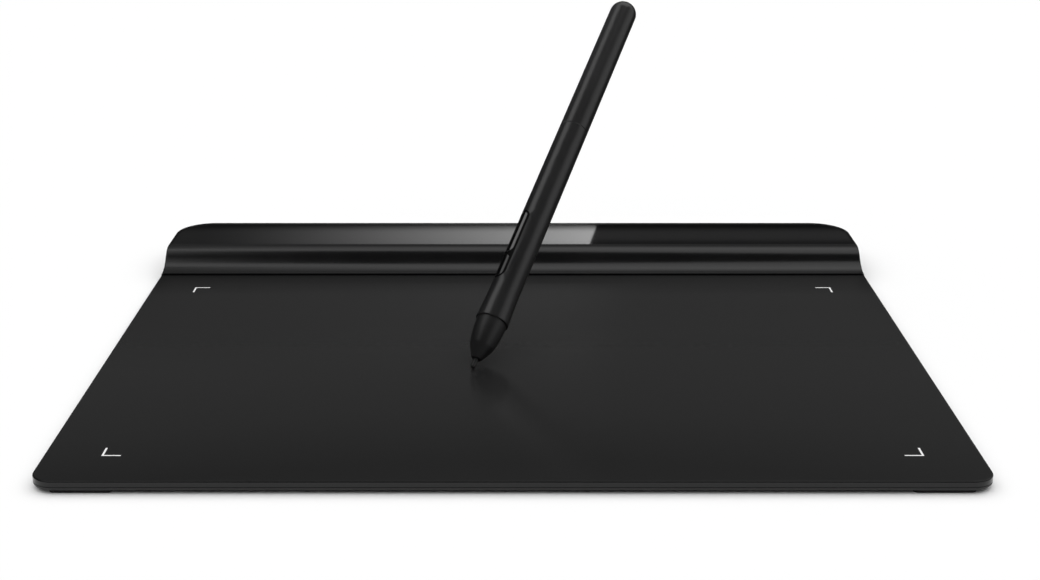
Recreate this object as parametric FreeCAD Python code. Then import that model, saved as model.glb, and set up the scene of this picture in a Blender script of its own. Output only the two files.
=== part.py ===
import FreeCAD, Part
import math
import os

# Slim pen tablet with a raised header bar, and the stylus that stands on it.
# Millimetres. Origin at the centre of the tablet's footprint, on the table. +Y goes to the back, +Z up.

# Tablet, in plan
tablet_width = 242.0
active_width = 212.0
active_depth = 135.4
front_margin = 15.25
back_margin = 13.4
header_depth = 41.2
front_corner_radius = 6.0
back_corner_radius = 12.5

# Tablet, from the table up
foot_height = 0.9
floor_wall = 0.9
shield_thickness = 0.15
sensor_thickness = 0.8
adhesive_thickness = 0.15
adhesive_inset = 1.0
plate_thickness = 0.7
header_rise = 6.6

# Case walls, the plate's skirt and the groove that parts it from the lower case
case_wall = 2.0
skirt_depth = 1.6
groove_height = 0.15
groove_depth = 0.6
case_edge_radius = 0.8
plate_edge_radius = 0.35
inner_gap = 0.3
rib_side_gap = 0.1
header_gap = 0.4
plate_seat = 2.6

# Header cover: an ogee front, a flat top and a shell below
lip_height = 0.55
ogee_run = 14.2
crest_share = 0.425
cover_front_wall = 1.4
cover_wall = 1.6
cover_roof = 1.2
rim_radius = 0.5
inner_ogee_run = 13.6

# Glossy strip let into the header's top
strip_thickness = 1.0
strip_setback = 14.35
strip_side_inset = 1.0
strip_back_inset = 3.1
strip_front_radius = 0.6
strip_gap = 0.08
strip_edge_radius = 0.12

# Corner marks of the active area, let into the plate; the back pair stands a little farther apart
mark_leg = 5.0
mark_line = 0.535
mark_depth = 0.1
back_mark_outset = 0.8

# Rubber feet, let into the floor
foot_width = 16.0
foot_depth = 8.0
foot_corner_radius = 1.5
foot_recess = 0.4
foot_side_inset = 4.8
foot_end_inset = 1.0
foot_fit = 0.05
back_foot_side_inset = 14.0

# Main board on four posts in the header
board_length = 96.0
board_depth = 24.0
board_thickness = 1.0
board_back_gap = 1.2
post_height = 1.0
post_radius = 2.0
post_inset = 3.2
board_screw_radius = 0.7
board_screw_reach = 1.4
board_screw_head_radius = 1.4
board_screw_head_height = 0.6

# Case screws, driven from below through the floor into bosses of the cover
case_screw_radius = 0.9
case_screw_head_radius = 1.9
case_screw_head_height = 0.6
case_screw_sink = 0.2
case_screw_reach = 4.0
case_boss_radius = 2.4
case_pad_radius = 3.2
case_pad_height = 1.0
case_screw_side_inset = 16.0
case_screw_back_inset = 22.0
boss_board_gap = 1.0
thread_fit = 0.02
hole_fit = 0.15
cross_width = 0.5
cross_span = 2.2
cross_depth = 0.4

# Parts on the main board: plan sizes, heights and places from the board's centre
controller_size = 8.0
controller_height = 0.9
controller_x = 16.0
analog_size = 5.0
analog_height = 0.8
analog_pitch = 8.0
analog_x = -24.0
analog_count = 2
crystal_length = 3.2
crystal_width = 2.5
crystal_height = 0.8
crystal_gap = 2.0
capacitor_length = 1.6
capacitor_width = 0.8
capacitor_height = 0.8
capacitor_pitch = 3.0
capacitor_count = 9
capacitor_row_inset = 7.0

# Flat cable between the sensor board and the main board, and its connector
flex_width = 14.0
flex_thickness = 0.15
flex_x = -4.0
flex_slot_gap = 0.4
flex_run_past_rib = 2.0
connector_length = 17.0
connector_depth = 3.0
connector_height = 1.4
connector_inset = 0.6

# Socket in the back wall for a standard reversible plug
socket_width = 8.94
socket_height = 3.16
socket_length = 7.35
socket_wall = 0.3
socket_back_wall = 0.8
socket_corner_radius = 1.4
socket_recess = 0.3
socket_gap = 0.15
tongue_width = 6.7
tongue_thickness = 0.7
tongue_front_gap = 1.0

# Stylus, measured from the nib's tip along its axis
pen_length = 143.8
nib_radius = 0.75
nib_exposed = 3.2
nose_front_radius = 1.5
nose_knee_at = 7.5
nose_knee_radius = 3.65
nose_rear_radius = 4.62
nose_bow = 0.28
nose_length = 16.15
flare_radius = 5.1
flare_end = 26.0
flare_hollow = 0.04
flare_edge_radius = 0.35
barrel_radius = 4.69
seam_at = 89.9
seam_radius = 4.53
tail_radius = 4.41
seam_chamfer = 0.15
nose_lip_radius = 0.45
nose_knee_blend = 2.5
barrel_bore = 3.65
bore_fit = 0.05
upper_bore_length = 40.0

# Where the stylus stands and how it leans
pen_stand_x = -11.61
pen_stand_from_front = 76.25
nib_clearance = 0.05
pen_lean = 50.95
pen_heading = 26.52
key_roll = -33.4

# Inside the nose: ferrite rod with its coil, and the nib's guide
nib_guide_fit = 0.12
nib_bore_fit = 0.2
ferrite_at = 9.0
ferrite_length = 12.0
ferrite_radius = 1.9
coil_margin = 1.5
coil_build = 0.6
coil_gap = 0.2
nose_spigot_length = 5.0

# Nib holder, pressure sensor and their travel
nib_travel = 0.4
holder_gap = 0.5
holder_length = 3.7
holder_radius = 2.2
holder_socket_depth = 2.5
stop_gap = 0.1
pad_radius = 1.5
pad_thickness = 0.8
sensor_radius = 2.6
sensor_length = 3.5

# Side keys: a bezel set in a slot of the barrel, two keys in its windows
slot_start = 29.6
slot_length = 25.2
slot_width = 5.2
bezel_fit = 0.05
bezel_recess = 0.12
key_width = 3.5
key_gap = 0.12
lower_key_length = 7.75
upper_key_length = 14.95
key_end_inset = 0.7
key_divider = 1.1
key_corner_radius = 1.6
key_stand = 0.1
key_crown_radius = 2.8
key_edge_radius = 0.2
bezel_bottom = 2.85
flange_gap = 0.1
flange_thickness = 0.4
flange_overlap = 0.5
key_travel = 0.35

# Board inside the barrel, with two switches and a row of capacitors, on a half-round carrier
switch_length = 2.6
switch_width = 1.8
switch_height = 0.6
pen_board_width = 6.0
pen_board_thickness = 0.8
pen_board_gap = 0.5
pen_board_end = 80.0
pen_capacitor_length = 1.0
pen_capacitor_width = 2.0
pen_capacitor_height = 0.6
pen_capacitor_pitch = 3.6
pen_capacitor_count = 5
pen_capacitor_gap = 2.5
carrier_wall = 0.9
carrier_tail_gap = 0.3

# Sleeve inside the barrel's seam
coupler_length = 15.0
coupler_wall = 0.7

# Levels and edges that follow from the sizes above
half_width = tablet_width / 2
work_depth = front_margin + active_depth + back_margin
tablet_depth = work_depth + header_depth
front_y = -tablet_depth / 2
back_y = tablet_depth / 2
header_y = front_y + work_depth
case_bottom = foot_height
floor_top = case_bottom + floor_wall
shield_top = floor_top + shield_thickness
sensor_top = shield_top + sensor_thickness
plate_bottom = sensor_top + adhesive_thickness
work_top = plate_bottom + plate_thickness
parting_z = work_top - skirt_depth
header_top = work_top + header_rise
wall_top = parting_z - groove_height
pad_top = floor_top + case_pad_height
rib_front = header_y - plate_seat
rib_back = header_y + cover_front_wall
ceiling_z = header_top - strip_thickness - cover_roof
board_bottom = floor_top + post_height
board_top = board_bottom + board_thickness
board_back = back_y - cover_wall - board_back_gap
board_front = board_back - board_depth
board_mid = board_back - board_depth / 2
socket_mid_z = board_top + socket_height / 2
spigot_radius = barrel_bore - bore_fit
coil_radius = ferrite_radius + coil_build
nose_bore = coil_radius + coil_gap
holder_front = ferrite_at + ferrite_length + holder_gap
holder_back = holder_front + holder_length
pad_front = holder_back + nib_travel + stop_gap
pad_back = pad_front + pad_thickness
sensor_back = pad_back + sensor_length
lower_key_start = slot_start + key_end_inset
upper_key_start = lower_key_start + lower_key_length + key_divider
flange_top = bezel_bottom - flange_gap
flange_bottom = flange_top - flange_thickness
switch_top = flange_bottom - key_travel - stop_gap
pen_board_top = switch_top - switch_height
pen_board_bottom = pen_board_top - pen_board_thickness
pen_board_start = sensor_back + pen_board_gap
coupler_start = seam_at - coupler_length / 2

BIG = 400.0
UP = FreeCAD.Vector(0, 0, 1)


def vec(x, y, z):
    return FreeCAD.Vector(x, y, z)


def line(start, end):
    return Part.LineSegment(start, end).toShape()


def plan_wire(x0, x1, y0, y1, front_radius, back_radius, z):
    """A rectangle at height z, with one radius on its front corners and one on its back corners."""
    corners = [
        (x0, y0, 1, 1, front_radius, 180),
        (x1, y0, -1, 1, front_radius, 270),
        (x1, y1, -1, -1, back_radius, 0),
        (x0, y1, 1, -1, back_radius, 90),
    ]
    arcs = []
    for x, y, inward_x, inward_y, radius, start in corners:
        points = []
        for degrees in (start, start + 45, start + 90):
            angle = math.radians(degrees)
            across = x + radius * (inward_x + math.cos(angle))
            along = y + radius * (inward_y + math.sin(angle))
            points.append(vec(across, along, z))
        arcs.append((radius, points))
    edges = []
    for i, (radius, points) in enumerate(arcs):
        if radius > 0:
            edges.append(Part.Arc(*points).toShape())
        following = arcs[(i + 1) % len(arcs)][1]
        edges.append(line(points[-1], following[0]))
    return Part.Wire(edges)


def prism(x0, x1, y0, y1, z0, z1, front_radius=0.0, back_radius=0.0):
    """An upright block on a plan_wire rectangle."""
    wire = plan_wire(x0, x1, y0, y1, front_radius, back_radius, z0)
    return Part.Face(wire).extrude(vec(0, 0, z1 - z0))


def block(x, y, z0, length, width, height):
    """A square-cornered block centred on x, y that stands on z0."""
    return Part.makeBox(length, width, height, vec(x - length / 2, y - width / 2, z0))


def disc(x, y, z0, z1, radius):
    return Part.makeCylinder(radius, z1 - z0, vec(x, y, z0), UP)


def tablet_prism(inset, z0, z1):
    """The tablet's whole outline, drawn in by inset."""
    front_radius = front_corner_radius - inset
    back_radius = back_corner_radius - inset
    reach = half_width - inset
    return prism(-reach, reach, front_y + inset, back_y - inset, z0, z1, front_radius, back_radius)


def ogee(start_y, start_z, run, rise, upper_share=0.5):
    """Two tangent arcs in the YZ plane, level at both ends; the upper one takes its share of the run."""
    turn = 2 * math.atan(rise / run)
    start = vec(0, start_y, start_z)
    end = vec(0, start_y + run, start_z + rise)
    arcs = []
    for corner, way, share in ((start, 1, 1 - upper_share), (end, -1, upper_share)):
        radius = run * share / math.sin(turn)
        points = []
        for angle in (0, turn / 2, turn):
            points.append(corner + vec(0, radius * math.sin(angle), radius * (1 - math.cos(angle))) * way)
        arcs.append(Part.Arc(*points).toShape())
    return arcs


def header_profile(start_y, bottom_z, lip, run, top_z, end_y):
    """Side view of the header: a small upright lip, the ogee, a level top and an upright back."""
    foot = vec(0, start_y, bottom_z)
    lip_top = vec(0, start_y, bottom_z + lip)
    crest = vec(0, start_y + run, top_z)
    back_top = vec(0, end_y, top_z)
    back_foot = vec(0, end_y, bottom_z)
    edges = ogee(start_y, lip_top.z, run, top_z - lip_top.z, crest_share)
    edges += [line(crest, back_top), line(back_top, back_foot), line(back_foot, foot), line(foot, lip_top)]
    return Part.Wire(Part.__sortEdges__(edges))


def across_tablet(wire, reach):
    """Extrudes a wire of the YZ plane to both sides."""
    face = Part.Face(wire)
    face.translate(vec(-reach, 0, 0))
    return face.extrude(vec(2 * reach, 0, 0))


def edges_where(shape, test):
    return [edge for edge in shape.Edges if test(edge)]


def case_screw_places():
    outer = half_width - case_screw_side_inset
    inner = board_length / 2 + case_boss_radius + boss_board_gap
    y = back_y - case_screw_back_inset
    return [(-outer, y), (-inner, y), (inner, y), (outer, y)]


def board_post_places():
    x = board_length / 2 - post_inset
    return [(side * x, y) for side in (-1, 1) for y in (board_front + post_inset, board_back - post_inset)]


def foot_places():
    """Corners of the four feet: x0, x1, y0, y1."""
    places = []
    for side in (-1, 1):
        front_outer = side * (half_width - foot_side_inset)
        back_outer = side * (half_width - back_foot_side_inset)
        front_span = sorted((front_outer, front_outer - side * foot_width))
        back_span = sorted((back_outer, back_outer - side * foot_width))
        front_start = front_y + foot_end_inset
        back_end = back_y - foot_end_inset
        places.append((*front_span, front_start, front_start + foot_depth))
        places.append((*back_span, back_end - foot_depth, back_end))
    return places


def mark_places():
    """The active area's corners with the directions in which each mark's legs run."""
    x = active_width / 2
    back_x = x + back_mark_outset
    y0 = front_y + front_margin
    y1 = y0 + active_depth
    return [(-x, y0, 1, 1), (x, y0, -1, 1), (-back_x, y1, 1, -1), (back_x, y1, -1, -1)]


def base_case():
    """Lower shell: a tray with a rib under the header's front, posts, screw pads and foot recesses."""
    tray = tablet_prism(0, case_bottom, wall_top)
    bottom_edges = edges_where(tray, lambda e: e.BoundBox.ZMax < case_bottom + 0.01)
    tray = tray.makeFillet(case_edge_radius, bottom_edges)
    tray = tray.fuse(tablet_prism(groove_depth, wall_top, parting_z))
    reach = half_width - case_wall
    front = front_y + case_wall
    back = back_y - case_wall
    front_radius = front_corner_radius - case_wall
    back_radius = back_corner_radius - case_wall
    tray = tray.cut(prism(-reach, reach, front, rib_front, floor_top, parting_z, front_radius, 0))
    tray = tray.cut(prism(-reach, reach, rib_back, back, floor_top, parting_z, 0, back_radius))
    tray = tray.fuse(rib_block(rib_side_gap, plate_bottom))
    for x, y in board_post_places():
        tray = tray.fuse(disc(x, y, floor_top, board_bottom, post_radius))
        pilot = board_bottom - board_screw_reach
        tray = tray.cut(disc(x, y, pilot, board_bottom, board_screw_radius + thread_fit))
    seat = case_bottom + case_screw_sink + case_screw_head_height
    for x, y in case_screw_places():
        tray = tray.fuse(disc(x, y, floor_top, pad_top, case_pad_radius))
        tray = tray.cut(disc(x, y, case_bottom, seat, case_screw_head_radius + hole_fit))
        tray = tray.cut(disc(x, y, seat, pad_top, case_screw_radius + hole_fit))
    for x0, x1, y0, y1 in foot_places():
        heights = (case_bottom, case_bottom + foot_recess)
        tray = tray.cut(prism(x0, x1, y0, y1, *heights, foot_corner_radius, foot_corner_radius))
    slot_reach = flex_width / 2 + flex_slot_gap
    slot = prism(flex_x - slot_reach, flex_x + slot_reach, rib_front, rib_back, floor_top, plate_bottom)
    return tray.cut(slot)


def rib_block(side_gap, top):
    """The rib under the plate's back edge and the header's front, up to a height."""
    reach = half_width - case_wall - side_gap
    return prism(-reach, reach, rib_front, rib_back, floor_top, top)


def rubber_feet():
    feet = []
    for x0, x1, y0, y1 in foot_places():
        radius = foot_corner_radius - foot_fit
        span = (x0 + foot_fit, x1 - foot_fit, y0 + foot_fit, y1 - foot_fit)
        feet.append(prism(*span, 0, case_bottom + foot_recess, radius, radius))
    return Part.makeCompound(feet)


def mark_shape(x, y, run_x, run_y):
    """One L of the active area's frame, with its outer corner at x, y."""
    z0 = work_top - mark_depth
    along_x = sorted((x, x + run_x * mark_leg))
    along_y = sorted((y, y + run_y * mark_leg))
    thin_x = sorted((x, x + run_x * mark_line))
    thin_y = sorted((y, y + run_y * mark_line))
    level_leg = prism(*along_x, *thin_y, z0, work_top)
    upright_leg = prism(*thin_x, *along_y, z0, work_top)
    return level_leg.fuse(upright_leg).removeSplitter()


def active_area_marks():
    return Part.makeCompound([mark_shape(*place) for place in mark_places()])


def drawing_plate():
    """The work surface: a thin plate with a skirt on three sides and shallow pockets for the marks."""
    plate_back = header_y - header_gap
    size = (-half_width, half_width, front_y, plate_back, parting_z, work_top)
    plate = prism(*size, front_corner_radius, 0)

    def on_outer_top(edge):
        box = edge.BoundBox
        return box.ZMin > work_top - 0.01 and box.YMin < plate_back - 0.01

    plate = plate.makeFillet(plate_edge_radius, edges_where(plate, on_outer_top))
    reach = half_width - case_wall
    front = front_y + case_wall
    inner_radius = front_corner_radius - case_wall
    plate = plate.cut(prism(-reach, reach, front, plate_back, parting_z, plate_bottom, inner_radius, 0))
    for place in mark_places():
        plate = plate.cut(mark_shape(*place))
    return plate


def layer(inset, z0, z1):
    """A sheet that lies in the tray's front pocket."""
    reach = half_width - case_wall - inset
    front = front_y + case_wall + inset
    radius = front_corner_radius - case_wall - inset
    return prism(-reach, reach, front, rib_front - inset, z0, z1, radius, 0)


def shield_sheet():
    return layer(inner_gap, floor_top, shield_top)


def sensor_board():
    return layer(inner_gap, shield_top, sensor_top)


def plate_adhesive():
    return layer(adhesive_inset, sensor_top, plate_bottom)


def strip_prism(grow, z0, z1):
    """The strip's outline, grown on all sides."""
    reach = half_width - strip_side_inset + grow
    front = header_y + strip_setback - grow
    back = back_y - strip_back_inset + grow
    back_radius = back_corner_radius - strip_side_inset + grow
    return prism(-reach, reach, front, back, z0, z1, strip_front_radius + grow, back_radius)


def gloss_strip():
    strip = strip_prism(0, header_top - strip_thickness, header_top)
    top_edges = edges_where(strip, lambda e: e.BoundBox.ZMin > header_top - 0.01)
    return strip.makeFillet(strip_edge_radius, top_edges)


def header_cover():
    """Upper shell of the bar: ogee front, recess for the strip, screw bosses and the socket's slot."""
    foot_to_lip = skirt_depth + lip_height
    profile = header_profile(header_y, parting_z, foot_to_lip, ogee_run, header_top, back_y)
    cover = across_tablet(profile, half_width).common(tablet_prism(0, parting_z, header_top))
    lip_top = parting_z + foot_to_lip

    def on_rim(edge):
        box = edge.BoundBox
        along_side = abs(abs(box.Center.x) - half_width) < 0.01 and box.YLength > 0.5 and box.ZMax > lip_top
        behind = box.ZMin > header_top - 0.01 and box.YMax > back_y - back_corner_radius - 0.01
        return along_side and box.ZMin > lip_top - 0.01 or behind and box.YMin > header_y + ogee_run + 0.01

    cover = cover.makeFillet(rim_radius, edges_where(cover, on_rim))
    rib_rise = plate_bottom - parting_z
    hollow = header_profile(rib_back, parting_z, rib_rise, inner_ogee_run, ceiling_z, back_y - cover_wall)
    hollow = across_tablet(hollow, half_width).common(tablet_prism(cover_wall, parting_z, ceiling_z))
    cover = cover.cut(hollow).cut(rib_block(0, plate_bottom))
    for x, y in case_screw_places():
        cover = cover.fuse(disc(x, y, pad_top, ceiling_z + cover_roof / 2, case_boss_radius))
        cover = cover.cut(disc(x, y, pad_top, pad_top + case_screw_reach, case_screw_radius + thread_fit))
    cover = cover.cut(strip_prism(strip_gap, header_top - strip_thickness, header_top))
    mouth = socket_prism(socket_gap, back_y - cover_wall, back_y)
    return cover.cut(mouth)


def socket_prism(grow, y0, y1):
    """The socket's outline, grown on all sides, from y0 to y1."""
    reach = socket_width / 2 + grow
    rise = socket_height / 2 + grow
    radius = socket_corner_radius + grow
    shape = prism(-reach, reach, -rise, rise, 0, y1 - y0, radius, radius)
    shape.rotate(vec(0, 0, 0), vec(1, 0, 0), -90)
    shape.translate(vec(0, y0, socket_mid_z))
    return shape


def usb_socket_shell():
    mouth = back_y - socket_recess
    shell = socket_prism(0, mouth - socket_length, mouth)
    return shell.cut(socket_prism(-socket_wall, mouth - socket_length + socket_back_wall, mouth))


def usb_socket_tongue():
    root = back_y - socket_recess - socket_length + socket_back_wall
    length = socket_length - socket_back_wall - tongue_front_gap
    low = socket_mid_z - tongue_thickness / 2
    return block(0, root + length / 2, low, tongue_width, length, tongue_thickness)


def main_board():
    half = board_length / 2
    board = prism(-half, half, board_front, board_back, board_bottom, board_top)
    for x, y in board_post_places():
        board = board.cut(disc(x, y, board_bottom, board_top, board_screw_radius + hole_fit))
    return board


def cross_recess(x, y, z0, z1):
    """A cross of two slots for a driver."""
    depth = z1 - z0
    slot = block(x, y, z0, cross_span, cross_width, depth)
    return slot.fuse(block(x, y, z0, cross_width, cross_span, depth))


def board_screws():
    screws = []
    for x, y in board_post_places():
        head_top = board_top + board_screw_head_height
        screw = disc(x, y, board_top, head_top, board_screw_head_radius)
        screw = screw.fuse(disc(x, y, board_bottom - board_screw_reach, board_top, board_screw_radius))
        screws.append(screw.cut(cross_recess(x, y, head_top - cross_depth, head_top)))
    return Part.makeCompound(screws)


def case_screws():
    screws = []
    head_bottom = case_bottom + case_screw_sink
    seat = head_bottom + case_screw_head_height
    for x, y in case_screw_places():
        screw = disc(x, y, head_bottom, seat, case_screw_head_radius)
        screw = screw.fuse(disc(x, y, seat, pad_top + case_screw_reach, case_screw_radius))
        screws.append(screw.cut(cross_recess(x, y, head_bottom, head_bottom + cross_depth)))
    return Part.makeCompound(screws)


def controller_chip():
    return block(controller_x, board_mid, board_top, controller_size, controller_size, controller_height)


def analog_chips():
    chips = []
    for i in range(analog_count):
        x = analog_x + i * analog_pitch
        chips.append(block(x, board_mid, board_top, analog_size, analog_size, analog_height))
    return Part.makeCompound(chips)


def crystal_can():
    x = controller_x + controller_size / 2 + crystal_gap + crystal_length / 2
    return block(x, board_mid, board_top, crystal_length, crystal_width, crystal_height)


def board_capacitors():
    caps = []
    y = board_back - capacitor_row_inset
    start = controller_x - capacitor_pitch * (capacitor_count - 1) / 2
    for i in range(capacitor_count):
        x = start + i * capacitor_pitch
        caps.append(block(x, y, board_top, capacitor_width, capacitor_length, capacitor_height))
    return Part.makeCompound(caps)


def flex_connector():
    y = board_front + connector_inset + connector_depth / 2
    return block(flex_x, y, board_top, connector_length, connector_depth, connector_height)


def sensor_flex_cable():
    """Flat cable from the sensor board's back edge, through the rib's slot, up to the connector."""
    start = rib_front - inner_gap
    bend = rib_back + flex_run_past_rib
    end = board_front + connector_inset
    low = shield_top + sensor_thickness / 2
    rise = board_top + connector_height / 2 - low
    run = end - bend
    lower = [line(vec(0, start, low), vec(0, bend, low))] + ogee(bend, low, run, rise)
    upper = [edge.translated(vec(0, 0, flex_thickness)) for edge in lower]
    ends = []
    for y, z in ((start, low), (end, low + rise)):
        ends.append(line(vec(0, y, z), vec(0, y, z + flex_thickness)))
    wire = Part.Wire(Part.__sortEdges__(lower + upper + ends))
    cable = across_tablet(wire, flex_width / 2)
    return cable.translated(vec(flex_x, 0, 0))


def bowed(start, end, bow):
    """An arc in the XZ plane that stands out by bow to the right of its chord, or a line without one."""
    if bow == 0:
        return line(start, end)
    chord = end - start
    outward = vec(chord.z, 0, -chord.x).normalize()
    return Part.Arc(start, (start + end) * 0.5 + outward * bow, end).toShape()


def turned(points):
    """A ring about the stylus axis from (radius, height) points; a third value bows the next stretch."""
    corners = [vec(point[0], 0, point[1]) for point in points]
    edges = []
    for i, point in enumerate(points):
        bow = point[2] if len(point) > 2 else 0
        edges.append(bowed(corners[i], corners[(i + 1) % len(corners)], bow))
    return Part.Face(Part.Wire(edges)).revolve(vec(0, 0, 0), UP, 360)


def tube(inner, outer, start, end):
    return turned([(inner, start), (outer, start), (outer, end), (inner, end)])


def circles_at(shape, height, radius):
    """The round edges of one radius at one height."""

    def matches(edge):
        box = edge.BoundBox
        level = abs(box.ZMin - height) < 0.01 and abs(box.ZMax - height) < 0.01
        return level and abs(box.XMax - radius) < 0.01

    return edges_where(shape, matches)


def nose_cone():
    guide = nib_radius + nib_guide_fit
    spigot_end = nose_length + nose_spigot_length
    nose = turned([
        (guide, nib_exposed),
        (nose_front_radius, nib_exposed),
        (nose_knee_radius, nose_knee_at, nose_bow),
        (nose_rear_radius, nose_length),
        (spigot_radius, nose_length),
        (spigot_radius, spigot_end),
        (nose_bore, spigot_end),
        (nose_bore, ferrite_at),
        (guide, ferrite_at),
    ])
    nose = nose.makeFillet(nose_lip_radius, circles_at(nose, nib_exposed, nose_front_radius))
    return nose.makeFillet(nose_knee_blend, circles_at(nose, nose_knee_at, nose_knee_radius))


def key_slot(grow, depth):
    """The slot's block, cut with round corners, from the axis side outwards."""
    reach = slot_width / 2 + grow
    radius = reach - bezel_fit
    return facing_key(-reach, reach, slot_start - grow, slot_start + slot_length + grow, depth, BIG, radius)


def facing_key(x0, x1, z0, z1, depth0, depth1, radius):
    """A round-cornered block on the key side of the stylus, between two depths from its axis."""
    shape = prism(x0, x1, z0, z1, 0, depth1 - depth0, radius, radius)
    shape.rotate(vec(0, 0, 0), vec(1, 0, 0), 90)
    shape.translate(vec(0, -depth0, 0))
    return shape


def lower_barrel():
    barrel = turned([
        (barrel_bore, nose_length),
        (flare_radius, nose_length, -flare_hollow),
        (barrel_radius, flare_end),
        (seam_radius, seam_at - seam_chamfer),
        (seam_radius - seam_chamfer, seam_at),
        (barrel_bore, seam_at),
    ])
    barrel = barrel.makeFillet(flare_edge_radius, circles_at(barrel, nose_length, flare_radius))
    return barrel.cut(key_slot(0, barrel_bore / 2))


def upper_barrel():
    dome_start = pen_length - tail_radius
    dome_mid = tail_radius * math.sqrt(0.5)
    corners = [
        vec(0, 0, seam_at),
        vec(seam_radius - seam_chamfer, 0, seam_at),
        vec(seam_radius, 0, seam_at + seam_chamfer),
        vec(tail_radius, 0, dome_start),
    ]
    edges = [line(a, b) for a, b in zip(corners, corners[1:])]
    tip = vec(0, 0, pen_length)
    edges.append(Part.Arc(corners[-1], vec(dome_mid, 0, dome_start + dome_mid), tip).toShape())
    edges.append(line(tip, corners[0]))
    barrel = Part.Face(Part.Wire(edges)).revolve(vec(0, 0, 0), UP, 360)
    return barrel.cut(disc(0, 0, seam_at, seam_at + upper_bore_length, barrel_bore))


def barrel_coupler():
    end = coupler_start + coupler_length
    inner = spigot_radius - coupler_wall
    return tube(inner, spigot_radius, coupler_start, end)


def key_spans():
    """Start and end of each key along the stylus."""
    lower_span = (lower_key_start, lower_key_start + lower_key_length)
    upper_span = (upper_key_start, upper_key_start + upper_key_length)
    return [lower_span, upper_span]


def surface_radius(height):
    """Outer radius of the lower barrel at a height above its flare."""
    share = (height - flare_end) / (seam_at - flare_end)
    return barrel_radius + share * (seam_radius - barrel_radius)


def key_bezel():
    """Rim round both keys, a little below the barrel's skin."""
    crown = surface_radius(slot_start + slot_length) - bezel_recess
    bezel = key_slot(-bezel_fit, bezel_bottom).common(disc(0, 0, 0, pen_length, crown))
    reach = key_width / 2 + key_gap
    radius = key_corner_radius + key_gap
    for start, end in key_spans():
        window = facing_key(-reach, reach, start - key_gap, end + key_gap, 0, BIG, radius)
        bezel = bezel.cut(window)
    return bezel


def side_key(start, end):
    """A key with its own tighter crown, and a flange below the bezel that keeps it in."""
    crown = surface_radius(start) + key_stand
    reach = key_width / 2
    key = facing_key(-reach, reach, start, end, flange_bottom, BIG, key_corner_radius)
    key = key.common(disc(0, key_crown_radius - crown, 0, pen_length, key_crown_radius))
    rim = edges_where(key, lambda e: e.BoundBox.YMax < -bezel_bottom)
    key = key.makeFillet(key_edge_radius, rim)
    wide = reach + flange_overlap
    flange = facing_key(-wide, wide, start, end, flange_bottom, flange_top, key_corner_radius)
    return key.fuse(flange)


def lower_key():
    return side_key(*key_spans()[0])


def upper_key():
    return side_key(*key_spans()[1])


def key_switches():
    switches = []
    for start, end in key_spans():
        mid = (start + end) / 2
        switches.append(board_part(mid, switch_width, switch_length, switch_height))
    return Part.makeCompound(switches)


def board_part(mid, width, length, height):
    """A block that stands on the stylus board."""
    low = -pen_board_top - height
    return Part.makeBox(width, height, length, vec(-width / 2, low, mid - length / 2))


def pen_board():
    length = pen_board_end - pen_board_start
    corner = vec(-pen_board_width / 2, -pen_board_top, pen_board_start)
    return Part.makeBox(pen_board_width, pen_board_thickness, length, corner)


def pen_capacitors():
    caps = []
    first = slot_start + slot_length + pen_capacitor_gap
    for i in range(pen_capacitor_count):
        mid = first + i * pen_capacitor_pitch
        caps.append(board_part(mid, pen_capacitor_width, pen_capacitor_length, pen_capacitor_height))
    return Part.makeCompound(caps)


def board_carrier():
    """Half-round trough that holds the pressure sensor and carries the board on its two edges."""
    end = coupler_start - carrier_tail_gap
    inner = spigot_radius - carrier_wall
    trough = tube(inner, spigot_radius, pad_front, end)
    above = Part.makeBox(BIG, BIG, BIG, vec(-BIG / 2, -pen_board_bottom - BIG, -BIG / 2))
    return trough.cut(above)


def ferrite_core():
    bore = nib_radius + nib_bore_fit
    return tube(bore, ferrite_radius, ferrite_at, ferrite_at + ferrite_length)


def coil_winding():
    start = ferrite_at + coil_margin
    end = ferrite_at + ferrite_length - coil_margin
    return tube(ferrite_radius, coil_radius, start, end)


def pressure_sensor():
    return disc(0, 0, pad_back, sensor_back, sensor_radius)


def sensor_pad():
    return disc(0, 0, pad_front, pad_back, pad_radius)


def nib():
    """Thin rod with a round tip; its tail sits in the holder."""
    tail = holder_front + holder_socket_depth
    rod = disc(0, 0, nib_radius, tail, nib_radius)
    return rod.fuse(Part.makeSphere(nib_radius, vec(0, 0, nib_radius))).removeSplitter()


def nib_holder():
    holder = disc(0, 0, holder_front, holder_back, holder_radius)
    return holder.cut(disc(0, 0, holder_front, holder_front + holder_socket_depth, nib_radius + thread_fit))


def stand_pen(shape):
    """Rolls the stylus, leans it back, turns it and stands its round tip on the work surface."""
    shape = shape.copy()
    tip_centre = vec(0, 0, nib_radius)
    shape.rotate(tip_centre, UP, key_roll)
    shape.rotate(tip_centre, vec(1, 0, 0), -pen_lean)
    shape.rotate(tip_centre, UP, -pen_heading)
    stand = vec(pen_stand_x, front_y + pen_stand_from_front, work_top + nib_clearance)
    return shape.translated(stand)


TABLET_PIECES = [
    base_case, rubber_feet, drawing_plate, active_area_marks, plate_adhesive, sensor_board, shield_sheet,
    header_cover, gloss_strip, main_board, board_screws, case_screws, controller_chip, analog_chips,
    crystal_can, board_capacitors, flex_connector, sensor_flex_cable, usb_socket_shell, usb_socket_tongue,
]
PEN_PIECES = [
    nose_cone, lower_barrel, upper_barrel, barrel_coupler, key_bezel, key_switches, pen_board,
    pen_capacitors, board_carrier, ferrite_core, coil_winding, pressure_sensor, sensor_pad,
    nib, nib_holder, lower_key, upper_key,
]


def main():
    os.makedirs("parts", exist_ok=True)
    for piece in TABLET_PIECES:
        piece().exportStep("parts/" + piece.__name__ + ".step")
    for piece in PEN_PIECES:
        stand_pen(piece()).exportStep("parts/" + piece.__name__ + ".step")


main()
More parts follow.
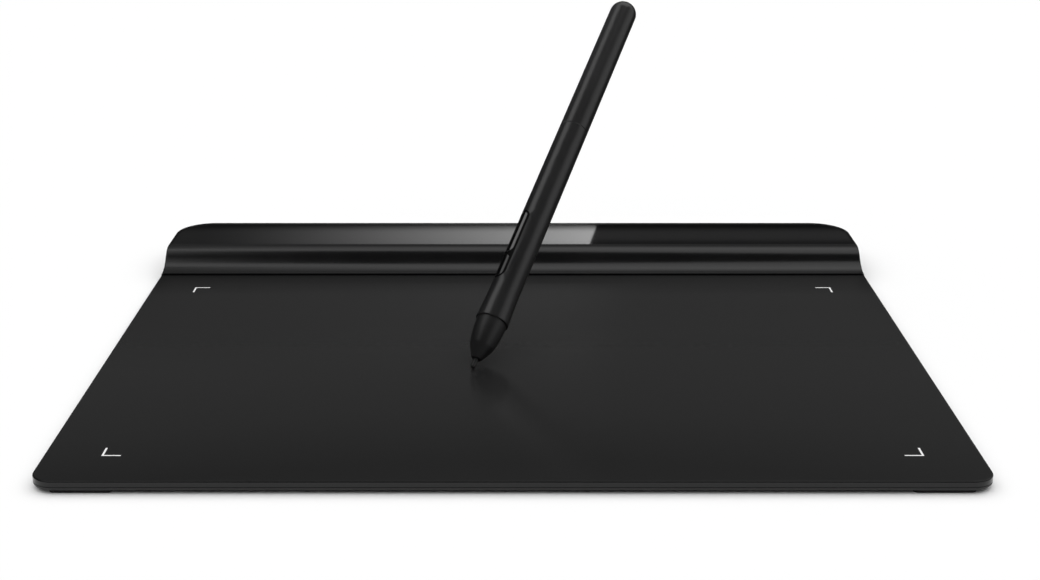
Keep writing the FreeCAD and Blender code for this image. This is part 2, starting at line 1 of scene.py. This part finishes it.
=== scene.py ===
import math

import bpy
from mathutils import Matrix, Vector

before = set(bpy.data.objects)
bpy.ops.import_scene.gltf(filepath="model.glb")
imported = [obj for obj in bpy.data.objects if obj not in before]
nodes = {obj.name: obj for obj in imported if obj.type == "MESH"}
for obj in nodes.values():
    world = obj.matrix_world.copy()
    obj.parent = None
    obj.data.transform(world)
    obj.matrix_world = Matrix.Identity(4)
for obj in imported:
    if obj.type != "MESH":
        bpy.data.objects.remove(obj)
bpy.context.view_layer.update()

# Metres throughout, in the part's own frame: +X right, +Y back, +Z up
MM = 0.001

# Camera: the photograph is 1040 x 580 pixels, and the pitch is in degrees
IMAGE_WIDTH = 1040
FOCAL_PIXELS = 1622
PRINCIPAL_COLUMN = 512.8
SENSOR_WIDTH = 36.0
CAMERA_Y = -0.46908
CAMERA_Z = 0.1786
CAMERA_PITCH = 18.79
CLIP_NEAR = 0.01
CLIP_FAR = 30

# The sky as fill light, by the height of its direction: dim up to one height and full from the other
HORIZON_FILL = 0.04
SKY_FILL = 1.29
FILL_FROM = 0.36
FILL_FULL = 0.62

# The broad light from above, with its spread in degrees
KEY_STRENGTH = 0.3
KEY_SPREAD = 50

FLOOR_GREY = 0.93
FLOOR_REACH = 6.0

# The room of cards that only mirror: its walls' places and the height of the front and back walls
ROOM_LEFT = -0.65
ROOM_RIGHT = 1.05
ROOM_FRONT = -1.4
ROOM_BACK = 0.52
ROOM_TOP = 0.9

# Where the front and back walls end at each side
WALL_LEFT = -1.1
WALL_RIGHT = 1.1

# Foot of the back wall, as height and level: dark, then grey with a dark line; it fades on the far left
BACK_LINE_LEVELS = [
    (0.1357, 0.0), (0.139, 0.085), (0.144, 0.085), (0.146, 0.03), (0.15, 0.03), (0.165, 0.1),
]
BACK_LINE_START = -0.42
BACK_LINE_FULL = -0.34

# Its upper part grows bright with height and fades to the left
BACK_LEVELS = [(0.3, 0.0), (0.35, 0.07), (0.42, 0.2), (0.55, 0.5), (0.7, 0.9), (0.9, 0.9)]
BACK_FADE_START = -0.4
BACK_FADE_END = 0.0

# Front wall, as height and level, and left wall
FRONT_LEVELS = [(0.35, 0.01), (0.6, 0.08), (0.9, 0.16)]
LEFT_WALL_TOP = 0.72
LEFT_LEVEL = 0.004

# Right wall, as height and level, brightest at mid height
SIDE_LEVELS = [
    (0.0, 0.15), (0.1, 0.34), (0.23, 0.5), (0.4, 0.58), (0.6, 0.56), (0.8, 0.44), (1.1, 0.2), (1.6, 0.0),
]

# Dark flag overhead: its back edge from right to left; light passes beside it onto the stylus
TOP_FLAG_Z = 3.0
TOP_FLAG_EDGE = [
    (5.0, -0.3), (0.76, -0.06), (0.54, 0.12), (0.28, 0.37), (-0.2, 0.72), (-0.41, 0.7), (-0.62, 0.5),
    (-0.74, 0.3), (-0.72, -0.1), (-1.0, -0.6), (-2.6, -2.1),
]
TOP_FLAG_FRONT = -5.0
TOP_FLAG_LEVEL = 0.0

# Dark flags that lie on the floor behind the tablet and to its right
FLOOR_FLAG_Z = 0.0006
FLOOR_FLAG_START = 0.112
FLOOR_FLAG_RIGHT = 0.13
FLOOR_FLAG_NEAR = -0.3
FLOOR_BACK_GLOW = 0.03
FLOOR_RIGHT_GLOW = 0.1

# The lit card that the glossy strip's left part mirrors: its outline, its soft foot and its run of light
CARD_Y = 0.5
CARD_LEFT = -0.25
CARD_RIGHT_LOW = 0.0525
CARD_RIGHT_HIGH = 0.0477
CARD_LOW = 0.1287
CARD_FULL = 0.1325
CARD_HIGH = 0.142
CARD_FADE_START = -0.2
CARD_FADE_END = 0.05
CARD_FADE_POWER = 1.87
CARD_PEAK = 1.545
CARD_BASE = 0.06

# CAD faces that meet at less than this angle, in degrees, are shaded as one, and the large ones lead
WELD_DISTANCE = 0.001 * MM
SMOOTH_ANGLE = 28
LARGE_FACES_LEAD = 100

# Noise: how rough it is, and the two values between which most of it lies
NOISE_ROUGHNESS = 0.55
NOISE_LOW = 0.3
NOISE_HIGH = 0.7

# Moulded pieces: the width of the slow drifts of tone and gloss, and the share by which gloss drifts
DRIFT_WIDTH = 22 * MM
GLOSS_DRIFT = 0.06

# The plate's tone by how flat one looks along it, a painted sheen, and its roughness by depth; towards
# the bar it grows rougher and its colour fades to black as painted shade
PLATE_TONE_AND_PAINTED_SHEEN = [(0.58, 0.0066), (0.608, 0.0128), (0.643, 0.0166), (0.68, 0.0183)]
PLATE_PAINTED_SHADE_FROM = 0.04
PLATE_PAINTED_SHADE_FULL = 0.0605
PLATE_SPECULAR = 0.34
PLATE_ROUGHNESS = [(-0.03, 0.18), (0.01, 0.33), (0.045, 0.33), (0.0605, 0.45)]
PLATE_ROUGHNESS_VARIES = 0.02
PLATE_GRAIN = 0.16 * MM
PLATE_RELIEF = 0.006 * MM

# Lacquer of the glossy strip: its waves, its dust, and how far tone and roughness go, as shares
LACQUER_WAVE = 9 * MM
LACQUER_RELIEF = 0.002 * MM
LACQUER_DUST = 0.6 * MM
LACQUER_LIGHTEST = 1.15
LACQUER_SMOOTHEST = 0.8
LACQUER_ROUGHEST = 1.6
LACQUER_IOR = 1.5

# Metals: grain, how far tone and roughness go, as shares, and how far the grain is drawn out
METAL_GRAIN = 0.25 * MM
METAL_RELIEF = 0.004 * MM
METAL_DARKEST = 0.88
METAL_SMOOTHEST = 0.8
METAL_ROUGHEST = 1.25
ROLLED = (1, 14, 1)
TURNED = (1, 1, 1)

# Circuit boards: the copper runs under the solder mask
RUN_LENGTH = 4.2 * MM
RUN_PITCH = 1.3 * MM
RUN_GAP = 0.16 * MM
RUN_OFFSET = 0.37
RUN_RELIEF = 0.02 * MM
MASK_DARKEST = 0.85
MASK_GRAIN = 0.2 * MM
MASK_SMOOTHEST = 0.24
MASK_ROUGHEST = 0.34

# Enamelled wire of the coil, wound round the stylus's axis
PEN_AXIS = Vector((0.3468, 0.6949, 0.63))
WIRE_PITCH = 0.22 * MM
WIRE_RELIEF = 0.05 * MM
WIRE_BLOTCH = 1.0 * MM
WIRE_DARK = (0.5, 0.2, 0.07)
WIRE_LIGHT = (0.62, 0.28, 0.1)
WIRE_SMOOTHEST = 0.25
WIRE_ROUGHEST = 0.35


def add(tree, kind, inputs=None, **settings):
    """Makes a shader node, sets its fields and fills or links its inputs."""
    made = tree.nodes.new(kind)
    for key, value in settings.items():
        setattr(made, key, value)
    for key, value in (inputs or {}).items():
        socket = made.inputs[key]
        if isinstance(value, bpy.types.NodeSocket):
            tree.links.new(value, socket)
        else:
            socket.default_value = value
    return made


def new_tree(name):
    """An empty material with its output node."""
    material = bpy.data.materials.new(name)
    material.use_nodes = True
    tree = material.node_tree
    tree.nodes.clear()
    output = tree.nodes.new("ShaderNodeOutputMaterial")
    return material, tree, output


def show(tree, output, kind, inputs):
    """Adds the shader that a material shows."""
    shader = add(tree, kind, inputs)
    tree.links.new(shader.outputs[0], output.inputs["Surface"])
    return shader


def place_of(tree):
    """Object coordinates in metres, which follow the piece."""
    return tree.nodes.new("ShaderNodeTexCoord").outputs["Object"]


def axis_of(tree, axis):
    """The place along one axis."""
    return add(tree, "ShaderNodeSeparateXYZ", {0: place_of(tree)}).outputs[axis]


def work_out(tree, operation, *values):
    """One sum on values or sockets."""
    return add(tree, "ShaderNodeMath", dict(enumerate(values)), operation=operation).outputs[0]


def noise(tree, place, size, detail=3.0):
    """Noise whose grains are about size across, in metres."""
    settings = {"Vector": place, "Scale": 1 / size, "Detail": detail, "Roughness": NOISE_ROUGHNESS}
    return add(tree, "ShaderNodeTexNoise", settings).outputs["Fac"]


def spread(tree, value, low, high, top=1.0, bottom=0.0):
    """Bottom below low and top above high, with a straight run between."""
    settings = {"Value": value, "From Min": low, "From Max": high, "To Min": bottom, "To Max": top}
    return add(tree, "ShaderNodeMapRange", settings).outputs["Result"]


def between(tree, value, low, high):
    """Spreads a noise value over a range."""
    return spread(tree, value, NOISE_LOW, NOISE_HIGH, high, low)


def levels(tree, value, stops):
    """What the stops give for a value, each being a place on its scale and a level."""
    low = stops[0][0]
    high = stops[-1][0]
    ramp = add(tree, "ShaderNodeValToRGB", {0: spread(tree, value, low, high)})
    marks = ramp.color_ramp.elements
    while len(marks) < len(stops):
        marks.new(0.5)
    for mark, (place, level) in zip(marks, stops):
        mark.position = (place - low) / (high - low)
        mark.color = (level, level, level, 1)
    return ramp.outputs["Color"]


def shades(tree, value, dark, light):
    """A colour that runs from dark to light with a noise value."""
    mix = add(tree, "ShaderNodeMix", data_type="RGBA")
    tree.links.new(between(tree, value, 0.0, 1.0), mix.inputs[0])
    mix.inputs[6].default_value = (*dark, 1)
    mix.inputs[7].default_value = (*light, 1)
    return mix.outputs[2]


def bump(tree, height, distance):
    """Fine relief of the skin."""
    inputs = {"Height": height, "Distance": distance, "Strength": 1.0}
    return add(tree, "ShaderNodeBump", inputs).outputs["Normal"]


def moulded(name, colour, roughness, grain=0.3 * MM, relief=0.01 * MM, drift=0.12,
            specular=0.5, ior=1.5):
    """Moulded plastic or rubber: a fine grain in the skin and slow drifts of tone and gloss."""
    material, tree, output = new_tree(name)
    place = place_of(tree)
    fine = noise(tree, place, grain, 2.0)
    slow = noise(tree, place, DRIFT_WIDTH)
    dark = [c * (1 - drift) for c in colour]
    light = [c * (1 + drift) for c in colour]
    smoothest = roughness * (1 - GLOSS_DRIFT)
    roughest = roughness * (1 + GLOSS_DRIFT)
    show(tree, output, "ShaderNodeBsdfPrincipled", {
        "Base Color": shades(tree, slow, dark, light),
        "Roughness": between(tree, slow, smoothest, roughest),
        "Normal": bump(tree, fine, relief),
        "Specular IOR Level": specular,
        "IOR": ior,
    })
    return material


def work_surface(name):
    """Finely textured plate, its colour painted paler the flatter one looks along it as a painted sheen,
    and painted darker by the bar as painted shade.
    """
    material, tree, output = new_tree(name)
    fine = noise(tree, place_of(tree), PLATE_GRAIN, 2.0)
    # Painted sheen: the plate's dark tone is painted paler the flatter one looks along it
    flatness = add(tree, "ShaderNodeLayerWeight").outputs["Facing"]
    depth = axis_of(tree, "Y")
    # Painted shade: the plate's colour fades to black towards the bar
    clear = spread(tree, depth, PLATE_PAINTED_SHADE_FROM, PLATE_PAINTED_SHADE_FULL, 0.0, 1.0)
    tone = add(tree, "ShaderNodeMix", {0: clear, 6: (0, 0, 0, 1)}, data_type="RGBA")
    tree.links.new(levels(tree, flatness, PLATE_TONE_AND_PAINTED_SHEEN), tone.inputs[7])
    varied = between(tree, fine, -PLATE_ROUGHNESS_VARIES, PLATE_ROUGHNESS_VARIES)
    show(tree, output, "ShaderNodeBsdfPrincipled", {
        "Base Color": tone.outputs[2],
        "Roughness": work_out(tree, "ADD", levels(tree, depth, PLATE_ROUGHNESS), varied),
        "Normal": bump(tree, fine, PLATE_RELIEF),
        "Specular IOR Level": PLATE_SPECULAR,
    })
    return material


def glossy_black(name, colour, roughness):
    """Piano finish: near-mirror lacquer with the faint waviness of a moulded face."""
    material, tree, output = new_tree(name)
    place = place_of(tree)
    wave = noise(tree, place, LACQUER_WAVE, 1.0)
    dust = noise(tree, place, LACQUER_DUST, 4.0)
    show(tree, output, "ShaderNodeBsdfPrincipled", {
        "Base Color": shades(tree, wave, colour, [c * LACQUER_LIGHTEST for c in colour]),
        "Roughness": between(tree, dust, roughness * LACQUER_SMOOTHEST, roughness * LACQUER_ROUGHEST),
        "Normal": bump(tree, wave, LACQUER_RELIEF),
        "IOR": LACQUER_IOR,
    })
    return material


def metal(name, colour, roughness, stretch=ROLLED):
    """Rolled or plated metal, with its grain drawn out along one direction."""
    material, tree, output = new_tree(name)
    place = place_of(tree)
    drawn = add(tree, "ShaderNodeMapping", {"Vector": place, "Scale": stretch}).outputs["Vector"]
    lines = noise(tree, drawn, METAL_GRAIN * max(stretch), 4.0)
    show(tree, output, "ShaderNodeBsdfPrincipled", {
        "Base Color": shades(tree, lines, [c * METAL_DARKEST for c in colour], colour),
        "Metallic": 1.0,
        "Roughness": between(tree, lines, roughness * METAL_SMOOTHEST, roughness * METAL_ROUGHEST),
        "Normal": bump(tree, lines, METAL_RELIEF),
    })
    return material


def laminate(name, mask, copper):
    """Circuit board: solder mask over copper runs that follow a grid."""
    material, tree, output = new_tree(name)
    place = place_of(tree)
    bricks = add(tree, "ShaderNodeTexBrick", {
        "Vector": place,
        "Color1": (*mask, 1),
        "Color2": (*[c * MASK_DARKEST for c in mask], 1),
        "Mortar": (*copper, 1),
        "Scale": 1.0,
        "Mortar Size": RUN_GAP,
        "Brick Width": RUN_LENGTH,
        "Row Height": RUN_PITCH,
    }, offset=RUN_OFFSET)
    fine = noise(tree, place, MASK_GRAIN)
    show(tree, output, "ShaderNodeBsdfPrincipled", {
        "Base Color": bricks.outputs["Color"],
        "Roughness": between(tree, fine, MASK_SMOOTHEST, MASK_ROUGHEST),
        "Normal": bump(tree, bricks.outputs["Fac"], RUN_RELIEF),
    })
    return material


def wound_copper(name):
    """Enamelled wire seen as fine rings round the stylus's axis."""
    material, tree, output = new_tree(name)
    place = place_of(tree)
    along = add(tree, "ShaderNodeVectorMath", {0: place, 1: PEN_AXIS}, operation="DOT_PRODUCT")
    turns = work_out(tree, "MULTIPLY", along.outputs["Value"], 2 * math.pi / WIRE_PITCH)
    ridge = work_out(tree, "SINE", turns)
    tone = noise(tree, place, WIRE_BLOTCH)
    show(tree, output, "ShaderNodeBsdfPrincipled", {
        "Base Color": shades(tree, tone, WIRE_DARK, WIRE_LIGHT),
        "Metallic": 1.0,
        "Roughness": between(tree, tone, WIRE_SMOOTHEST, WIRE_ROUGHEST),
        "Normal": bump(tree, ridge, WIRE_RELIEF),
    })
    return material


def node_materials():
    """One finish for each CAD node: its colour and roughness, then any grain and relief of its own."""
    case = moulded("case_plastic", (0.014, 0.014, 0.0145), 0.42, 0.35 * MM, 0.012 * MM, specular=0.34)
    barrel = moulded("barrel_plastic", (0.0116, 0.0116, 0.0119), 0.3, 0.22 * MM, 0.002 * MM, ior=1.6)
    bezel = moulded("bezel_plastic", (0.003, 0.003, 0.003), 0.6, 0.2 * MM, 0.003 * MM, specular=0.08)
    board = laminate("board_laminate", (0.01, 0.09, 0.03), (0.05, 0.2, 0.06))
    chip = moulded("chip_epoxy", (0.02, 0.02, 0.02), 0.5, 0.1 * MM, 0.01 * MM)
    ceramic = moulded("ceramic_tan", (0.36, 0.22, 0.11), 0.45, 0.1 * MM, 0.005 * MM)
    key_colour = (0.003, 0.003, 0.0031)
    return {
        "base_case": case,
        "rubber_feet": moulded("foot_rubber", (0.006, 0.006, 0.006), 0.8, 0.5 * MM, 0.05 * MM),
        "drawing_plate": work_surface("work_surface"),
        "active_area_marks": moulded("mark_ink", (0.86, 0.86, 0.86), 0.6, 0.2 * MM, 0.004 * MM, 0.03),
        "plate_adhesive": moulded("adhesive_film", (0.55, 0.54, 0.5), 0.3),
        "sensor_board": board,
        "shield_sheet": metal("shield_steel", (0.5, 0.5, 0.51), 0.35),
        "header_cover": moulded("header_plastic", (0.0045, 0.0045, 0.0047), 0.2, 0.3 * MM, 0.002 * MM),
        "gloss_strip": glossy_black("strip_gloss", (0.003, 0.003, 0.0032), 0.03),
        "main_board": board,
        "board_screws": metal("screw_steel", (0.55, 0.55, 0.56), 0.3, TURNED),
        "case_screws": metal("screw_black", (0.05, 0.05, 0.052), 0.35, TURNED),
        "controller_chip": chip,
        "analog_chips": chip,
        "crystal_can": metal("can_metal", (0.7, 0.7, 0.7), 0.22),
        "board_capacitors": ceramic,
        "flex_connector": moulded("connector_ivory", (0.62, 0.57, 0.44), 0.4),
        "sensor_flex_cable": moulded("flex_film", (0.3, 0.12, 0.02), 0.25),
        "usb_socket_shell": metal("socket_steel", (0.62, 0.62, 0.63), 0.28),
        "usb_socket_tongue": moulded("tongue_plastic", (0.015, 0.015, 0.015), 0.4, 0.1 * MM, 0.003 * MM),
        "nose_cone": moulded("nose_plastic", (0.01, 0.01, 0.0103), 0.42, 0.2 * MM, 0.008 * MM),
        "lower_barrel": barrel,
        "upper_barrel": barrel,
        "barrel_coupler": moulded("coupler_plastic", (0.03, 0.03, 0.03), 0.4),
        "key_bezel": bezel,
        "key_switches": metal("switch_metal", (0.6, 0.6, 0.6), 0.3, TURNED),
        "pen_board": board,
        "pen_capacitors": ceramic,
        "board_carrier": moulded("carrier_plastic", (0.6, 0.6, 0.57), 0.45),
        "ferrite_core": moulded("ferrite_grey", (0.035, 0.035, 0.038), 0.5, 0.2 * MM, 0.01 * MM),
        "coil_winding": wound_copper("coil_copper"),
        "pressure_sensor": moulded("sensor_body", (0.06, 0.06, 0.065), 0.45),
        "sensor_pad": moulded("pad_silicone", (0.35, 0.35, 0.35), 0.6),
        "nib": moulded("nib_plastic", (0.012, 0.012, 0.012), 0.35, 0.1 * MM, 0.002 * MM),
        "nib_holder": moulded("holder_plastic", (0.5, 0.5, 0.48), 0.45),
        "lower_key": moulded("lower_key_plastic", key_colour, 0.12, 0.3 * MM, 0.001 * MM, ior=1.62),
        "upper_key": moulded("upper_key_plastic", key_colour, 0.1, 0.3 * MM, 0.001 * MM, ior=2.0),
    }


def dress_nodes():
    """Gives each CAD node its finish and shades its round faces smooth, with its real edges kept."""
    for name, material in node_materials().items():
        piece = nodes[name]
        piece.data.materials.clear()
        piece.data.materials.append(material)
        for polygon in piece.data.polygons:
            polygon.use_smooth = True
            polygon.material_index = 0
        weld = piece.modifiers.new("weld", "WELD")
        weld.merge_threshold = WELD_DISTANCE
        split = piece.modifiers.new("edges", "EDGE_SPLIT")
        split.split_angle = math.radians(SMOOTH_ANGLE)
        level = piece.modifiers.new("level_faces", "WEIGHTED_NORMAL")
        level.mode = "FACE_AREA"
        level.weight = LARGE_FACES_LEAD
        level.keep_sharp = True


def white_for_sight(tree):
    """1 for camera, glossy and transmission rays, and 0 for the rest."""
    path = tree.nodes.new("ShaderNodeLightPath").outputs
    either = work_out(tree, "MAXIMUM", path["Is Camera Ray"], path["Is Glossy Ray"])
    return work_out(tree, "MAXIMUM", either, path["Is Transmission Ray"])


def make_world():
    """White where it is seen or mirrored, and a dimmer sky as fill light."""
    world = bpy.data.worlds.new("studio")
    bpy.context.scene.world = world
    world.use_nodes = True
    tree = world.node_tree
    tree.nodes.clear()
    direction = tree.nodes.new("ShaderNodeTexCoord").outputs["Generated"]
    rise = add(tree, "ShaderNodeSeparateXYZ", {0: direction}).outputs["Z"]
    fill = spread(tree, rise, FILL_FROM, FILL_FULL, SKY_FILL, HORIZON_FILL)
    span = {"Value": white_for_sight(tree), "To Min": fill, "To Max": 1.0}
    strength = add(tree, "ShaderNodeMapRange", span).outputs["Result"]
    output = tree.nodes.new("ShaderNodeOutputWorld")
    show(tree, output, "ShaderNodeBackground", {"Color": (1, 1, 1, 1), "Strength": strength})


def sheet_object(name, corners, material):
    """One flat sheet of the studio, which isn't part of the object."""
    mesh = bpy.data.meshes.new(name)
    mesh.from_pydata(corners, [], [tuple(range(len(corners)))])
    made = bpy.data.objects.new(name, mesh)
    bpy.context.scene.collection.objects.link(made)
    mesh.materials.append(material)
    return made


def lying(left, right, near, far, z):
    """Corners of a level sheet."""
    return [(left, near, z), (right, near, z), (right, far, z), (left, far, z)]


def across(y):
    """Corners of a wall that stands across the room."""
    return [(WALL_LEFT, y, 0), (WALL_RIGHT, y, 0), (WALL_RIGHT, y, ROOM_TOP), (WALL_LEFT, y, ROOM_TOP)]


def along_side(x, top):
    """Corners of a wall that runs from the front wall to the back wall."""
    return [(x, ROOM_FRONT, 0), (x, ROOM_BACK, 0), (x, ROOM_BACK, top), (x, ROOM_FRONT, top)]


def make_floor():
    """Pale floor that lies under the feet and keeps the object's shadow."""
    material, tree, output = new_tree("floor_pale")
    show(tree, output, "ShaderNodeBsdfDiffuse", {"Color": (FLOOR_GREY, FLOOR_GREY, FLOOR_GREY, 1)})
    sheet_object("floor", lying(-FLOOR_REACH, FLOOR_REACH, -FLOOR_REACH, FLOOR_REACH, 0), material)


def emission(name, strength=0.0):
    """A white glow, with its node for what is linked to it."""
    material, tree, output = new_tree(name)
    glow = show(tree, output, "ShaderNodeEmission", {"Color": (1, 1, 1, 1), "Strength": strength})
    return material, tree, glow


def mirrored_only(card):
    """A studio card that shows in reflections and nowhere else."""
    card.visible_camera = False
    card.visible_diffuse = False
    card.visible_transmission = False
    card.visible_shadow = False
    card.visible_volume_scatter = False


def make_back_wall():
    """The wall behind, which the bar and the plate mirror."""
    material, tree, glow = emission("back_wall_levels")
    height = axis_of(tree, "Z")
    place = axis_of(tree, "X")
    fade = spread(tree, place, BACK_FADE_START, BACK_FADE_END)
    bright = work_out(tree, "MULTIPLY", levels(tree, height, BACK_LEVELS), fade)
    lined = spread(tree, place, BACK_LINE_START, BACK_LINE_FULL)
    low = work_out(tree, "MULTIPLY", levels(tree, height, BACK_LINE_LEVELS), lined)
    tree.links.new(work_out(tree, "ADD", low, bright), glow.inputs["Strength"])
    return sheet_object("back_wall", across(ROOM_BACK), material)


def make_dark_walls():
    """The walls in front and on the left."""
    material, tree, glow = emission("front_wall_levels")
    tree.links.new(levels(tree, axis_of(tree, "Z"), FRONT_LEVELS), glow.inputs["Strength"])
    front = sheet_object("front_wall", across(ROOM_FRONT), material)
    grey = emission("left_wall_grey", LEFT_LEVEL)[0]
    left = sheet_object("left_wall", along_side(ROOM_LEFT, LEFT_WALL_TOP), grey)
    return [front, left]


def make_flags():
    """Dark cards overhead and on the floor."""
    edge = [(x, y, TOP_FLAG_Z) for x, y in TOP_FLAG_EDGE]
    front = [(x, TOP_FLAG_FRONT, TOP_FLAG_Z) for x in (TOP_FLAG_EDGE[-1][0], TOP_FLAG_EDGE[0][0])]
    cards = [sheet_object("top_flag", edge + front, emission("top_flag_grey", TOP_FLAG_LEVEL)[0])]
    back = lying(WALL_LEFT, WALL_RIGHT, FLOOR_FLAG_START, ROOM_BACK, FLOOR_FLAG_Z)
    right = lying(FLOOR_FLAG_RIGHT, ROOM_RIGHT, FLOOR_FLAG_NEAR, FLOOR_FLAG_START, FLOOR_FLAG_Z)
    for side, corners, level in (("back", back, FLOOR_BACK_GLOW), ("right", right, FLOOR_RIGHT_GLOW)):
        name = "floor_flag_" + side
        cards.append(sheet_object(name, corners, emission(name + "_grey", level)[0]))
    return cards


def make_side_wall():
    """The wall on the right, whose light shows along the stylus."""
    material, tree, glow = emission("side_wall_levels", 1.0)
    tree.links.new(levels(tree, axis_of(tree, "Z"), SIDE_LEVELS), glow.inputs["Color"])
    return sheet_object("side_wall", along_side(ROOM_RIGHT, SIDE_LEVELS[-1][0]), material)


def make_lit_card():
    """The card that shows in the glossy strip's left part, brighter towards its slanted right end."""
    material, tree, glow = emission("lit_card")
    share = spread(tree, axis_of(tree, "X"), CARD_FADE_START, CARD_FADE_END)
    curve = work_out(tree, "POWER", share, CARD_FADE_POWER)
    level = work_out(tree, "MULTIPLY_ADD", curve, CARD_PEAK, CARD_BASE)
    rise = spread(tree, axis_of(tree, "Z"), CARD_LOW, CARD_FULL)
    tree.links.new(work_out(tree, "MULTIPLY", level, rise), glow.inputs["Strength"])
    corners = [(CARD_LEFT, CARD_Y, CARD_LOW), (CARD_RIGHT_LOW, CARD_Y, CARD_LOW),
               (CARD_RIGHT_HIGH, CARD_Y, CARD_HIGH), (CARD_LEFT, CARD_Y, CARD_HIGH)]
    return sheet_object("lit_card", corners, material)


def make_cards():
    """The whole room of cards."""
    for card in [make_back_wall(), *make_dark_walls(), *make_flags(), make_side_wall(), make_lit_card()]:
        mirrored_only(card)


def make_key_light():
    """A broad soft light from straight above."""
    light = bpy.data.lights.new("key", "SUN")
    light.energy = KEY_STRENGTH
    light.angle = math.radians(KEY_SPREAD)
    lamp = bpy.data.objects.new("key", light)
    bpy.context.scene.collection.objects.link(lamp)
    lamp.visible_glossy = False


def make_camera():
    """The photograph's camera, which looks along +Y and down."""
    data = bpy.data.cameras.new("camera")
    data.sensor_width = SENSOR_WIDTH
    data.lens = FOCAL_PIXELS * SENSOR_WIDTH / IMAGE_WIDTH
    data.shift_x = (IMAGE_WIDTH / 2 - PRINCIPAL_COLUMN) / IMAGE_WIDTH
    data.clip_start = CLIP_NEAR
    data.clip_end = CLIP_FAR
    camera = bpy.data.objects.new("camera", data)
    bpy.context.scene.collection.objects.link(camera)
    camera.location = (0, CAMERA_Y, CAMERA_Z)
    camera.rotation_euler = (math.radians(90 - CAMERA_PITCH), 0, 0)
    bpy.context.scene.camera = camera


make_camera()
dress_nodes()
make_world()
make_floor()
make_cards()
make_key_light()
bpy.context.scene.view_settings.view_transform = "Standard"
